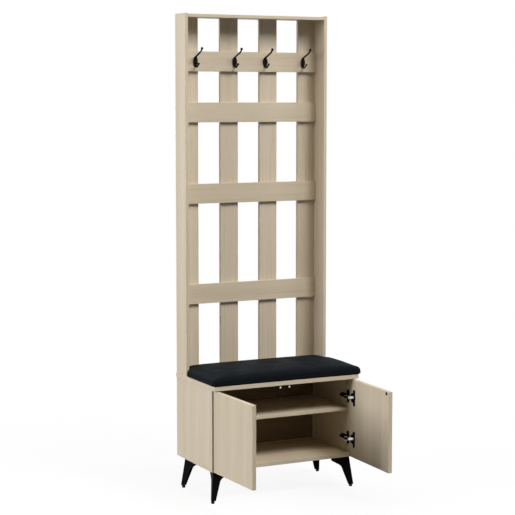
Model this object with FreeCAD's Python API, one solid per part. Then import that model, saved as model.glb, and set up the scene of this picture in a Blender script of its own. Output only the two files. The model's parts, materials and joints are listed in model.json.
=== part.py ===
import FreeCAD, Part
import math
import os

# Entryway hall tree: an open coat frame on a low two-door shoe cabinet with a padded seat.
# Millimetres. +Z is up and the front faces -Y. The origin is on the floor under the middle of the seat board.

# Overall sizes
total_height = 1800.0
frame_width = 600.0
frame_depth = 93.0
seat_height = 440.0
seat_depth = 345.0
cabinet_depth = 320.0
leg_height = 119.0

# Board thicknesses and the small bevel along their edges
frame_board = 12.0
seat_board_thickness = 16.0
cabinet_board = 15.0
door_board = 15.0
shelf_board = 12.0
back_board = 3.0
edge_break = 0.5

# Coat frame: four upright slats at the back, four rails in front of them, a top board between the sides
slat_count = 4
slat_width = 75.0
rail_height = 75.0
slat_inset = 3.0
frame_top_drop = 3.0
rail_height_shares = {"hook_rail": 0.87, "upper_rail": 0.729, "middle_rail": 0.5026, "lower_rail": 0.221}

# Cabinet
seat_overhang = 3.0
back_panel_inset = 9.0
groove_depth = 5.0
shelf_top_height = 307.0
shelf_front_setback = 20.0
shelf_side_gap = 0.5
shelf_back_gap = 1.0

# Doors, shown open: both edges of a door lie inside the cabinet's outline
door_gap = 2.0
door_side_reveal = 1.0
door_bottom_reveal = 1.0
door_top_gap = 3.0
door_meeting_gap = 2.0
open_angle = 88.0

# Fits shared by all pieces
fit_gap = 0.05
slide_gap = 0.1
seat_gap = 0.3
overrun = 1.0

# Dowels of the coat frame
dowel_radius = 3.0
dowel_in_face = 8.0
dowel_in_edge = 16.0
dowel_spread = 40.0
side_dowel_spread = 60.0

# Countersunk screws from the slats into the rails
rail_screw_radius = 1.75
rail_screw_head = 3.5
rail_screw_head_height = 2.4
rail_screw_length = 20.0

# Small pan-head screws of the hooks
hook_screw_radius = 1.5
hook_screw_head = 2.8
hook_screw_head_height = 1.6
hook_screw_length = 13.0

# Pan-head screws of the hinges, the push latch and the strike plates
fitting_screw_radius = 1.75
fitting_screw_head = 3.2
fitting_screw_head_height = 1.8
fitting_screw_length = 12.0

# Pan-head screws of the legs and of the cushion base
leg_screw_radius = 2.0
leg_screw_head = 4.0
leg_screw_head_height = 2.2
leg_screw_length = 13.0
cushion_screw_radius = 2.0
cushion_screw_head = 4.0
cushion_screw_head_height = 2.2
cushion_screw_length = 20.0

# Proportions of every screw: flat point, cross recess and the waist of a pan head
screw_point_share = 0.35
screw_point_length_share = 1.6
recess_width_share = 0.3
recess_length_share = 1.2
recess_depth_share = 0.6
pan_top_share = 0.7

# Double coat hook: leaf-shaped plate, upper and lower prong that taper to ball ends
hook_from_end = 59.0
hook_spacing_inner = 130.0
hook_plate_height = 40.0
hook_plate_width = 18.0
hook_tip_round = 2.6
hook_foot_round = 5.5
hook_plate_thickness = 4.5
hook_plate_round = 1.8
hook_root_reach = 3.5
hook_screw_spacing = 11.0
hook_upper_root = 3.4
hook_upper_neck = 3.0
hook_upper_ball = 5.0
hook_lower_root = 3.0
hook_lower_neck = 2.6
hook_lower_ball = 4.2
hook_upper_reach = 61.0
hook_upper_rise = 46.5
hook_upper_bend_radius = 14.0
hook_lower_reach = 31.0
hook_lower_drop = 21.5
hook_lower_bend_radius = 5.0
hook_upper_rise_shares = (0.28, 0.41, 0.77)
hook_upper_reach_shares = (0.16, 0.86)
hook_lower_drop_shares = (0.6, 1.0, 0.98, 0.46)
hook_lower_reach_shares = (0.2, 0.52)

# Cam fittings between the cabinet sides and the seat and bottom boards
cam_radius = 6.0
cam_depth = 10.0
cam_from_edge = 24.0
cam_from_front = 30.0
cam_from_back = 45.0
cam_slot_radius = 3.4
cam_bolt_radius = 2.8
cam_bolt_in_board = 11.0

# Shelf pins
shelf_pin_radius = 2.5
shelf_pin_in_panel = 9.0
shelf_pin_reach = 9.0
shelf_pin_width = 9.0
shelf_pin_height = 6.0
shelf_pin_from_edge = 35.0

# Concealed hinges: place above the shelf, cup in the door, plate and arm on the side panel
hinge_above_shelf_share = 0.276
cup_from_edge = 21.5
cup_radius = 17.5
cup_depth = 12.0
cup_wall = 0.9
cup_pocket_half_height = 8.0
cup_rim = 1.5
cup_flange_thickness = 1.2
cup_flange_height = 62.0
cup_flange_width = 15.0
cup_flange_round = 5.0
cup_screw_spacing = 45.0
cup_ear_offset = 9.5
hinge_pin_radius = 1.25
hinge_plate_thickness = 3.0
hinge_plate_length = 58.0
hinge_plate_bar = 15.0
hinge_plate_from_front = 10.0
hinge_wing_height = 50.0
hinge_wing_width = 12.0
hinge_wing_from_front = 20.0
hinge_wing_screw_spacing = 38.0
hinge_arm_height = 14.0
hinge_arm_sheet = 1.0
hinge_arm_half_width = 5.2
hinge_arm_back = 62.0
hinge_arm_shoulder = 24.0
hinge_nose_radius = 2.7

# Hinge pins: from the side panel's inner face and the cabinet front, and from the door's edge and inner face
arm_outer_pin_in = 23.0
arm_outer_pin_back = 6.2
arm_inner_pin_in = 15.8
arm_inner_pin_ahead = 8.4
cup_outer_pin_from_edge = 10.8
cup_outer_pin_depth = 1.6
cup_inner_pin_from_edge = 12.6
cup_inner_pin_depth = 7.3
outer_link_turn_share = 0.30

# Hinge links
link_sheet = 1.0
link_side_gap = 0.2
link_eye_radius = 2.4
link_half_width = 1.8
link_knee_from_pin = 5.0
link_knee_offset = 3.5
inner_link_half_thickness = 1.2
inner_link_pin_reach = 0.8

# Double push latch under the seat board
latch_spacing = 38.0
latch_drop = 12.0
latch_barrel_radius = 5.6
latch_barrel_length = 58.0
latch_head_room = 2.8
latch_plate_width = 66.0
latch_plate_thickness = 2.5
latch_plate_round = 4.0
latch_bore_radius = 4.0
latch_bore_floor = 3.0
latch_screw_from_ends = 12.0
plunger_head_radius = 5.2
plunger_head_thickness = 3.2
plunger_rod_length = 30.0
plunger_tip_radius = 3.6
plunger_tip_thickness = 1.2
plunger_travel = 3.5
spring_wire_radius = 0.4
spring_turns = 9

# Strike plate and bumper on each door
strike_radius = 6.5
strike_thickness = 1.0
strike_recess = 0.4
bumper_radius = 4.5
bumper_thickness = 1.4
bumper_from_edge = 25.0
bumper_above_flange = 6.0

# Splayed sheet-steel legs: two wings that meet at the outer corner
leg_corner_from_side = 13.5
leg_corner_from_front = 17.0
leg_corner_from_back = 48.0
leg_splay = 13.0
leg_included_angle = 60.0
leg_sheet = 2.0
leg_wing_top = 72.0
leg_wing_end = 17.0
leg_elbow_width = 37.0
leg_elbow_drop = 38.0
leg_foot_width = 20.0
leg_tip_round = 5.0
leg_elbow_round = 20.0
leg_plate_thickness = 2.5
leg_plate_setback = 1.5
leg_screw_inset_shares = ((0.3, 0.3), (0.68, 0.14), (0.14, 0.68))
glide_height = 9.0
glide_radius = 6.5
glide_round = 1.5
glide_from_corner = 11.0

# Seat cushion: a crowned, rolled pad, as wide as the seat in front and narrower between the frame sides
cushion_front_overhang = 2.0
cushion_left_overhang = 0.5
cushion_right_overhang = 12.0
cushion_frame_gap = 2.0
cushion_side_gap = 0.5
cushion_back_gap = 35.0
cushion_shoulder = 13.0
cushion_thickness = 34.0
cushion_end_drop = 7.5
cushion_front_drop = 3.0
cushion_back_drop = 1.0
cushion_roll = 14.0
cushion_tuck = 5.0
cushion_draw_in = 1.5
cushion_corner = 18.0
cushion_shoulder_round = 19.0
cushion_neck_round = 3.0
cushion_back_corner = 16.0
cushion_crown_shares = ((0.0, 0.0), (0.5, 0.02), (0.82, 0.14), (1.0, 1.0))
cushion_crown_degree = 8
cushion_base_thickness = 6.0
cushion_base_inset = 14.0
cushion_screw_inset = 60.0

# Places worked out from the sizes above
UP = FreeCAD.Vector(0, 0, 1)
ALONG_X = FreeCAD.Vector(1, 0, 0)
ALONG_Y = FreeCAD.Vector(0, 1, 0)
back_y = seat_depth / 2
cabinet_front_y = back_y - cabinet_depth
frame_front_y = back_y - frame_depth
cabinet_x = frame_width / 2
inner_x = cabinet_x - cabinet_board
frame_inner_x = cabinet_x - frame_board
seat_under_z = seat_height - seat_board_thickness
cabinet_floor_z = leg_height + cabinet_board
frame_top_z = total_height - frame_top_drop
frame_ceiling_z = frame_top_z - frame_board
slat_back_y = back_y - slat_inset
slat_front_y = slat_back_y - frame_board
rail_front_y = slat_front_y - frame_board
back_panel_front_y = back_y - back_panel_inset - back_board
shelf_under_z = shelf_top_height - shelf_board
shelf_front_y = cabinet_front_y + shelf_front_setback
door_inner_y = cabinet_front_y - door_gap
door_outer_y = door_inner_y - door_board
door_edge_x = cabinet_x - door_side_reveal
door_bottom_z = leg_height + door_bottom_reveal
door_top_z = seat_under_z - door_top_gap
hinge_room = seat_under_z - shelf_top_height - hinge_wing_height
upper_hinge_z = shelf_top_height + hinge_wing_height / 2 + hinge_room * hinge_above_shelf_share
hinge_heights = (door_bottom_z + door_top_z - upper_hinge_z, upper_hinge_z)
latch_z = seat_under_z - latch_drop

pieces = {}


def vec(x, y, z=0):
    return FreeCAD.Vector(x, y, z)


def put(name, shape):
    pieces.setdefault(name, []).append(shape.Solids[0])


def cut(name, tool):
    pieces[name] = [solid.cut(tool).Solids[0] for solid in pieces[name]]


def block(x_range, y_range, z_range):
    low = vec(min(x_range), min(y_range), min(z_range))
    high = vec(max(x_range), max(y_range), max(z_range))
    size = high - low
    return Part.makeBox(size.x, size.y, size.z, low)


def board(x_range, y_range, z_range):
    plain = block(x_range, y_range, z_range)
    return plain.makeChamfer(edge_break, plain.Edges)


def rod(start, direction, radius, length):
    return Part.makeCylinder(radius, length, start, direction)


def placed(solid, point, direction):
    copy = solid.copy()
    copy.Placement = FreeCAD.Placement(point, FreeCAD.Rotation(UP, direction))
    return copy


def mirrored(solid):
    return solid.mirror(vec(0, 0), ALONG_X)


def rounded_edges(points, radii, closed):
    """Straight edges through the points, with a tangent arc of the given radius at each corner."""
    count = len(points)
    starts = []
    ends = []
    arcs = []
    for index, point in enumerate(points):
        radius = radii[index]
        if radius == 0:
            starts.append(point)
            ends.append(point)
            arcs.append(None)
            continue
        before = (points[index - 1] - point).normalize()
        after = (points[(index + 1) % count] - point).normalize()
        half_turn = before.getAngle(after) / 2
        reach = radius / math.tan(half_turn)
        middle = (before + after).normalize() * (radius / math.sin(half_turn) - radius)
        starts.append(point + before * reach)
        ends.append(point + after * reach)
        arcs.append(Part.Arc(point + before * reach, point + middle, point + after * reach).toShape())
    edges = []
    for index in range(count):
        if arcs[index]:
            edges.append(arcs[index])
        if closed or index < count - 1:
            edges.append(Part.makeLine(ends[index], starts[(index + 1) % count]))
    return edges


def plate(points, radii, thickness_vector):
    outline = Part.Wire(rounded_edges(points, radii, True))
    return Part.Face(outline).extrude(thickness_vector)


def capsule(start, end, radius, z_range):
    """A flat link: a straight bar with round ends, lying between two heights."""
    along = (end - start).normalize()
    across = vec(-along.y, along.x) * radius
    reach = along * radius
    low = vec(0, 0, min(z_range))
    height = max(z_range) - min(z_range)
    edges = [
        Part.makeLine(start + across, end + across),
        Part.Arc(end + across, end + reach, end - across).toShape(),
        Part.makeLine(end - across, start - across),
        Part.Arc(start - across, start - reach, start + across).toShape(),
    ]
    bar = Part.Face(Part.Wire(edges)).extrude(UP * height)
    bar.translate(low)
    return bar


def make_screw(radius, head, head_height, length, sunk):
    """A screw along +Z with its seat at the origin: a pan head above the seat or a sunk head below it."""
    point = radius * screw_point_length_share
    body = Part.makeCylinder(radius, length - point)
    body = body.fuse(Part.makeCone(radius, radius * screw_point_share, point, UP * (length - point)))
    if sunk:
        body = body.fuse(Part.makeCone(head, radius, head_height))
        face_z = 0
    else:
        body = body.fuse(Part.makeCone(head * pan_top_share, head, head_height, -UP * head_height))
        face_z = -head_height
    half_width = head * recess_width_share / 2
    half_length = head * recess_length_share / 2
    depths = (face_z - overrun, face_z + head_height * recess_depth_share)
    cross = block((-half_width, half_width), (-half_length, half_length), depths)
    cross = cross.fuse(block((-half_length, half_length), (-half_width, half_width), depths))
    return body.removeSplitter().cut(cross).Solids[0]


def screw_bore(radius, head, head_height, length, sunk):
    bore = Part.makeCylinder(radius + fit_gap, length + seat_gap)
    if sunk:
        bore = bore.fuse(Part.makeCone(head + fit_gap, radius + fit_gap, head_height))
    return bore


def set_screws(group, sizes, places, sunk=False):
    """Drives one screw per place: a point, a direction and the pieces that it passes through."""
    screw = make_screw(*sizes, sunk)
    bore = screw_bore(*sizes, sunk)
    for point, direction, held in places:
        put(group, placed(screw, point, direction))
        for name in held:
            cut(name, placed(bore, point, direction))


def set_dowel(joint, direction, face_piece, edge_piece):
    """A dowel across a joint: the direction points into the piece that is bored in its edge."""
    length = dowel_in_face + dowel_in_edge
    put("frame_dowels", rod(joint - direction * dowel_in_face, direction, dowel_radius, length))
    bore_start = joint - direction * (dowel_in_face + seat_gap)
    bore = rod(bore_start, direction, dowel_radius + fit_gap, length + seat_gap + seat_gap)
    cut(face_piece, bore)
    cut(edge_piece, bore)


rail_screw = (rail_screw_radius, rail_screw_head, rail_screw_head_height, rail_screw_length)
hook_screw = (hook_screw_radius, hook_screw_head, hook_screw_head_height, hook_screw_length)
fitting_screw = (fitting_screw_radius, fitting_screw_head, fitting_screw_head_height, fitting_screw_length)
leg_screw = (leg_screw_radius, leg_screw_head, leg_screw_head_height, leg_screw_length)
cushion_screw = (cushion_screw_radius, cushion_screw_head, cushion_screw_head_height, cushion_screw_length)

# Coat frame
for name, side in (("left_frame_side", -1), ("right_frame_side", 1)):
    side_x = (side * frame_inner_x, side * cabinet_x)
    put(name, board(side_x, (frame_front_y, back_y), (seat_height, total_height)))
between_sides = (-frame_inner_x, frame_inner_x)
put("frame_top", board(between_sides, (frame_front_y, slat_back_y), (frame_ceiling_z, frame_top_z)))

slat_pitch = (2 * frame_inner_x - slat_width) / (slat_count - 1)
slat_centres = [-frame_inner_x + slat_width / 2 + slat_pitch * index for index in range(slat_count)]
slats = [f"slat_{index + 1}" for index in range(slat_count)]
for name, centre in zip(slats, slat_centres):
    x_range = (centre - slat_width / 2, centre + slat_width / 2)
    put(name, board(x_range, (slat_front_y, slat_back_y), (seat_height, frame_ceiling_z)))

rail_heights = {}
for name, share in rail_height_shares.items():
    rail_heights[name] = seat_height + share * (total_height - seat_height)
    z_range = (rail_heights[name] - rail_height / 2, rail_heights[name] + rail_height / 2)
    put(name, board(between_sides, (rail_front_y, slat_front_y), z_range))

# Cabinet boards; the thin back panel stands in grooves on all four sides
seat_x = cabinet_x + seat_overhang
put("seat_board", board((-seat_x, seat_x), (-back_y, back_y), (seat_under_z, seat_height)))
put("bottom_board", board((-cabinet_x, cabinet_x), (cabinet_front_y, back_y), (leg_height, cabinet_floor_z)))
for name, side in (("left_side_panel", -1), ("right_side_panel", 1)):
    panel_x = (side * inner_x, side * cabinet_x)
    put(name, board(panel_x, (cabinet_front_y, back_y), (cabinet_floor_z, seat_under_z)))
back_reach = groove_depth - seat_gap
back_x = inner_x + back_reach
back_z = (cabinet_floor_z - back_reach, seat_under_z + back_reach)
back_panel_y = (back_panel_front_y, back_panel_front_y + back_board)
put("back_panel", block((-back_x, back_x), back_panel_y, back_z))
groove_x = inner_x + groove_depth
groove = block(
    (-groove_x, groove_x),
    (back_panel_y[0] - fit_gap, back_panel_y[1] + fit_gap),
    (cabinet_floor_z - groove_depth, seat_under_z + groove_depth),
)
for name in ("seat_board", "bottom_board", "left_side_panel", "right_side_panel"):
    cut(name, groove)
shelf_x = inner_x - shelf_side_gap
shelf_y = (shelf_front_y, back_panel_front_y - shelf_back_gap)
put("shelf", board((-shelf_x, shelf_x), shelf_y, (shelf_under_z, shelf_top_height)))

# Shelf pins: a stud in the side panel and a flat tongue under the shelf
for name, side in (("left_side_panel", -1), ("right_side_panel", 1)):
    for y in (shelf_y[0] + shelf_pin_from_edge, shelf_y[1] - shelf_pin_from_edge):
        centre_z = shelf_under_z - shelf_pin_height / 2
        wall = vec(side * inner_x, y, centre_z)
        outward = ALONG_X * side
        stud_foot = wall - outward * shelf_pin_reach / 2
        stud = rod(stud_foot, outward, shelf_pin_radius, shelf_pin_in_panel + shelf_pin_reach / 2)
        tongue_x = (side * (inner_x - shelf_pin_reach), side * inner_x)
        tongue_z = (shelf_under_z - shelf_pin_height, shelf_under_z)
        tongue = block(tongue_x, (y - shelf_pin_width / 2, y + shelf_pin_width / 2), tongue_z)
        put("shelf_pins", stud.fuse(tongue).removeSplitter())
        cut(name, rod(wall, outward, shelf_pin_radius + fit_gap, shelf_pin_in_panel + seat_gap))

# Cam fittings: a cam in each side panel draws on a bolt that is screwed into the seat or bottom board
for name, side in (("left_side_panel", -1), ("right_side_panel", 1)):
    for y in (cabinet_front_y + cam_from_front, back_y - cam_from_back):
        for other, joint_z, away in (("seat_board", seat_under_z, -1), ("bottom_board", cabinet_floor_z, 1)):
            into_panel = UP * away
            bolt_x = side * (inner_x + cam_depth / 2)
            cam_z = joint_z + away * cam_from_edge
            mouth = vec(side * inner_x, y, cam_z)
            bolt_head = vec(bolt_x, y, cam_z)
            bolt_foot = vec(bolt_x, y, joint_z) - into_panel * cam_bolt_in_board
            bolt_length = cam_bolt_in_board + cam_from_edge
            cam = rod(mouth, ALONG_X * side, cam_radius, cam_depth)
            slot = rod(bolt_head, -into_panel, cam_slot_radius, cam_radius + overrun)
            slot = slot.fuse(Part.makeSphere(cam_slot_radius, bolt_head))
            put("cam_locks", cam.cut(slot).Solids[0])
            put("cam_bolts", rod(bolt_foot, into_panel, cam_bolt_radius, bolt_length))
            cut(name, rod(mouth, ALONG_X * side, cam_radius + fit_gap, cam_depth + seat_gap))
            bore_foot = bolt_foot - into_panel * seat_gap
            bolt_bore = rod(bore_foot, into_panel, cam_bolt_radius + fit_gap, bolt_length + seat_gap)
            cut(name, bolt_bore)
            cut(other, bolt_bore)

# Dowels of the frame: rails and top into the sides, slats into the seat and top, sides into the seat
rail_middle_y = (rail_front_y + slat_front_y) / 2
slat_middle_y = (slat_front_y + slat_back_y) / 2
side_middle_y = (frame_front_y + back_y) / 2
for name, side in (("left_frame_side", -1), ("right_frame_side", 1)):
    inward = ALONG_X * -side
    for rail, height in rail_heights.items():
        for shift in (-dowel_spread / 2, dowel_spread / 2):
            set_dowel(vec(side * frame_inner_x, rail_middle_y, height + shift), inward, name, rail)
    for shift in (-side_dowel_spread / 2, side_dowel_spread / 2):
        top_joint = vec(side * frame_inner_x, side_middle_y + shift, frame_top_z - frame_board / 2)
        set_dowel(top_joint, inward, name, "frame_top")
        foot_joint = vec(side * (frame_inner_x + frame_board / 2), side_middle_y + shift, seat_height)
        set_dowel(foot_joint, UP, "seat_board", name)
for name, centre in zip(slats, slat_centres):
    set_dowel(vec(centre, slat_middle_y, seat_height), UP, "seat_board", name)
    set_dowel(vec(centre, slat_middle_y, frame_ceiling_z), -UP, "frame_top", name)

# One countersunk screw at each crossing, from the back of the slat into the rail
crossings = []
for name, centre in zip(slats, slat_centres):
    for rail, height in rail_heights.items():
        crossings.append((vec(centre, slat_back_y, height), -ALONG_Y, (name, rail)))
set_screws("rail_screws", rail_screw, crossings, sunk=True)


def hook_path(reaches, heights, bend_radius):
    """The centre line of a prong in the plane that stands square to the rail."""
    points = [vec(0, -reach, height) for reach, height in zip(reaches, heights)]
    radii = [bend_radius] * len(points)
    radii[0] = radii[-1] = 0
    return Part.Wire(rounded_edges(points, radii, False)), points


def ring(radius, point, heading):
    """A circle square to the heading; every ring starts on the same side, so that a bar has no twist."""
    circle = Part.makeCircle(radius, vec(0, 0), -ALONG_Y)
    circle.rotate(vec(0, 0), ALONG_X, math.degrees(math.atan2(-heading.z, -heading.y)))
    circle.translate(point)
    return Part.Wire(circle)


def prong(path, points, root_radius, neck_radius, ball_radius):
    """A round bar that tapers along its path, with a ball at its end."""
    first, last = path.Edges[0], path.Edges[-1]
    root_ring = ring(root_radius, points[0], first.tangentAt(first.FirstParameter))
    neck_ring = ring(neck_radius, points[-1], last.tangentAt(last.LastParameter))
    bar = path.makePipeShell([root_ring, neck_ring], True, False)
    return bar.fuse([Part.makeSphere(root_radius, points[0]), Part.makeSphere(ball_radius, points[-1])])


def leaf_half(end_round, toward):
    """One end of the plate: two long side arcs that run into a round end without a corner."""
    end_centre = vec(0, half_plate - end_round)
    side_radius = (half_leaf ** 2 + end_centre.y ** 2 - end_round ** 2) / (2 * (half_leaf - end_round))
    side_centre = vec(side_radius - half_leaf, 0)
    outward = (end_centre - side_centre).normalize()
    halfway = side_centre + (outward - ALONG_X).normalize() * side_radius
    touch = end_centre + outward * end_round
    points = [vec(half_leaf, 0), vec(-halfway.x, halfway.y), vec(-touch.x, touch.y), vec(0, half_plate)]
    points += [touch, halfway, vec(-half_leaf, 0)]
    points = [point * toward for point in points]
    return [Part.Arc(*points[start:start + 3]).toShape() for start in (0, 2, 4)]


# Double coat hooks on the top rail
half_plate = hook_plate_height / 2
half_leaf = hook_plate_width / 2
leaf = Part.Wire(leaf_half(hook_tip_round, 1) + leaf_half(hook_foot_round, -1))
hook_plate = Part.Face(leaf).extrude(UP * hook_plate_thickness)
front_edges = [edge for edge in hook_plate.Edges if edge.BoundBox.ZMin > hook_plate_thickness / 2]
hook_plate = hook_plate.makeFillet(hook_plate_round, front_edges)
hook_plate.rotate(vec(0, 0), ALONG_X, math.degrees(math.pi / 2))
upper_bends = [hook_upper_reach * share for share in hook_upper_reach_shares]
upper_reaches = [hook_root_reach] + upper_bends + [hook_upper_reach]
upper_heights = [hook_upper_rise * share for share in hook_upper_rise_shares] + [hook_upper_rise]
lower_bends = [hook_lower_reach * share for share in hook_lower_reach_shares]
lower_reaches = [hook_root_reach] + lower_bends + [hook_lower_reach]
lower_heights = [-hook_lower_drop * share for share in hook_lower_drop_shares]
upper_path = hook_path(upper_reaches, upper_heights, hook_upper_bend_radius)
lower_path = hook_path(lower_reaches, lower_heights, hook_lower_bend_radius)
upper_prong = prong(*upper_path, hook_upper_root, hook_upper_neck, hook_upper_ball)
lower_prong = prong(*lower_path, hook_lower_root, hook_lower_neck, hook_lower_ball)
coat_hook = hook_plate.fuse([upper_prong, lower_prong]).removeSplitter()
outer_hook_x = frame_inner_x - hook_from_end
inner_hook_x = hook_spacing_inner / 2
hook_places = (-outer_hook_x, -inner_hook_x, inner_hook_x, outer_hook_x)
hook_screw_places = []
for index, x in enumerate(hook_places):
    name = f"coat_hook_{index + 1}"
    centre = vec(x, rail_front_y, rail_heights["hook_rail"])
    hook = coat_hook.copy()
    hook.translate(centre)
    put(name, hook)
    for shift in (-hook_screw_spacing / 2, hook_screw_spacing / 2):
        face = centre + vec(0, -hook_plate_thickness, shift)
        hook_screw_places.append((face, ALONG_Y, (name, "hook_rail")))
set_screws("hook_screws", hook_screw, hook_screw_places)

# Hinge pin places on the left side, with the door closed and then open as shown
arm_outer_pin = vec(-inner_x + arm_outer_pin_in, cabinet_front_y + arm_outer_pin_back)
arm_inner_pin = vec(-inner_x + arm_inner_pin_in, cabinet_front_y - arm_inner_pin_ahead)
cup_outer_pin = vec(-door_edge_x + cup_outer_pin_from_edge, door_inner_y - cup_outer_pin_depth)
cup_inner_pin = vec(-door_edge_x + cup_inner_pin_from_edge, door_inner_y - cup_inner_pin_depth)
link_turn = FreeCAD.Rotation(UP, open_angle * outer_link_turn_share)
door_turn = FreeCAD.Rotation(UP, -open_angle)
open_outer_pin = arm_outer_pin + link_turn.multVec(cup_outer_pin - arm_outer_pin)
open_inner_pin = open_outer_pin + door_turn.multVec(cup_inner_pin - cup_outer_pin)


def opened(solid):
    """Carries a piece of the closed left door to the open place that its hinges give it."""
    copy = solid.copy()
    copy.rotate(cup_outer_pin, UP, -open_angle)
    copy.translate(open_outer_pin - cup_outer_pin)
    return copy


# Closed left door with its cup bores, then its cups, strike plate, bumper and screws
cup_x = -door_edge_x + cup_from_edge
ear_x = cup_x + cup_ear_offset
arm_layer = (hinge_arm_half_width - hinge_arm_sheet, hinge_arm_half_width)
link_layer = (hinge_arm_half_width + link_side_gap, hinge_arm_half_width + link_side_gap + link_sheet)
inner_link_half_height = arm_layer[0] - link_side_gap
strike_x = -latch_spacing / 2
strike_y = door_inner_y + strike_thickness - strike_recess


def mirrored_layers(layer, middle):
    return ((middle + layer[0], middle + layer[1]), (middle - layer[0], middle - layer[1]))


def hinge_cup(z):
    """A cup let into the door, with a pocket for the links, a rim and a flange with two screw ears."""
    mouth = vec(cup_x, door_inner_y, z)
    cup = rod(mouth, -ALONG_Y, cup_radius, cup_depth)
    cup = cup.fuse(rod(mouth, ALONG_Y, cup_radius + cup_rim, cup_flange_thickness))
    half_width = cup_flange_width / 2
    half_height = cup_flange_height / 2
    corners = [
        vec(ear_x + across * half_width, door_inner_y, z + up * half_height)
        for across, up in ((-1, -1), (1, -1), (1, 1), (-1, 1))
    ]
    cup = cup.fuse(plate(corners, [cup_flange_round] * len(corners), ALONG_Y * cup_flange_thickness))
    pocket_y = door_inner_y + cup_flange_thickness + overrun
    pocket_depth = pocket_y - door_inner_y + cup_depth - cup_wall
    pocket = rod(vec(cup_x, pocket_y, z), -ALONG_Y, cup_radius - cup_wall, pocket_depth)
    level = (z - cup_pocket_half_height, z + cup_pocket_half_height)
    cup_width = (cup_x - cup_radius, cup_x + cup_radius)
    pocket = pocket.common(block(cup_width, (pocket_y - pocket_depth, pocket_y), level))
    return cup.removeSplitter().cut(pocket).Solids[0]


door_x = (-door_edge_x, -door_meeting_gap / 2)
put("left_door", board(door_x, (door_outer_y, door_inner_y), (door_bottom_z, door_top_z)))
door_screws = []
for z in hinge_heights:
    put("left_hinge_cups", hinge_cup(z))
    cut("left_door", rod(vec(cup_x, door_inner_y, z), -ALONG_Y, cup_radius + fit_gap, cup_depth + fit_gap))
    for shift in (-cup_screw_spacing / 2, cup_screw_spacing / 2):
        ear = vec(ear_x, door_inner_y + cup_flange_thickness, z + shift)
        door_screws.append((ear, -ALONG_Y, ("left_door", "left_hinge_cups")))
stub_start = link_layer[0]
stub_length = cup_pocket_half_height + hinge_pin_radius - stub_start
stub_pins = []
for z in hinge_heights:
    for direction in (UP, -UP):
        stub_foot = cup_outer_pin + UP * z + direction * stub_start
        stub_pins.append(rod(stub_foot, direction, hinge_pin_radius, stub_length))
        cut("left_hinge_cups", rod(stub_foot, direction, hinge_pin_radius + fit_gap, stub_length))
pieces["left_hinge_cups"] += stub_pins
strike_foot = vec(strike_x, strike_y - strike_thickness, latch_z)
put("left_strike_plate", rod(strike_foot, ALONG_Y, strike_radius, strike_thickness))
cut("left_door", rod(strike_foot, ALONG_Y, strike_radius + fit_gap, strike_recess + overrun))
bumper_z = upper_hinge_z + cup_flange_height / 2 + bumper_above_flange
bumper_foot = vec(-door_edge_x + bumper_from_edge, door_inner_y, bumper_z)
bumper_face = bumper_radius - bumper_thickness / 2
bumper = Part.makeCone(bumper_radius, bumper_face, bumper_thickness, bumper_foot, ALONG_Y)
put("left_door_bumper", bumper)
set_screws("left_door_screws", fitting_screw, door_screws)
left_door_pieces = (
    "left_door",
    "left_hinge_cups",
    "left_strike_plate",
    "left_door_bumper",
    "left_door_screws",
)
for name in left_door_pieces:
    pieces[name] = [opened(solid) for solid in pieces[name]]


def outer_link_plate(layer):
    """One of the two cranked plates that run outside the arm, from its rear pin to the pin in the cup."""
    along = (open_outer_pin - arm_outer_pin).normalize()
    knee = open_outer_pin - along * link_knee_from_pin + vec(-along.y, along.x) * link_knee_offset
    foot = UP * min(layer)
    link = capsule(arm_outer_pin, knee, link_half_width, layer)
    link = link.fuse(capsule(knee, open_outer_pin, link_half_width, layer))
    for pin in (arm_outer_pin, open_outer_pin):
        link = link.fuse(rod(pin + foot, UP, link_eye_radius, link_sheet))
    for pin in (arm_outer_pin, open_outer_pin):
        link = link.cut(rod(pin + foot, UP, hinge_pin_radius + fit_gap, link_sheet))
    return link.removeSplitter()


def inner_link(z):
    """A bar on the arm's front pin; its own short pin lies free in the cup."""
    level = (z - inner_link_half_height, z + inner_link_half_height)
    height = level[1] - level[0]
    link = capsule(arm_inner_pin, open_inner_pin, inner_link_half_thickness, level)
    link = link.fuse(rod(arm_inner_pin + UP * level[0], UP, link_eye_radius, height))
    pin_foot = open_inner_pin + UP * (level[0] - inner_link_pin_reach)
    link = link.fuse(rod(pin_foot, UP, hinge_pin_radius, height + 2 * inner_link_pin_reach))
    link = link.cut(rod(arm_inner_pin + UP * level[0], UP, hinge_pin_radius + fit_gap, height))
    return link.removeSplitter().Solids[0]


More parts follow.
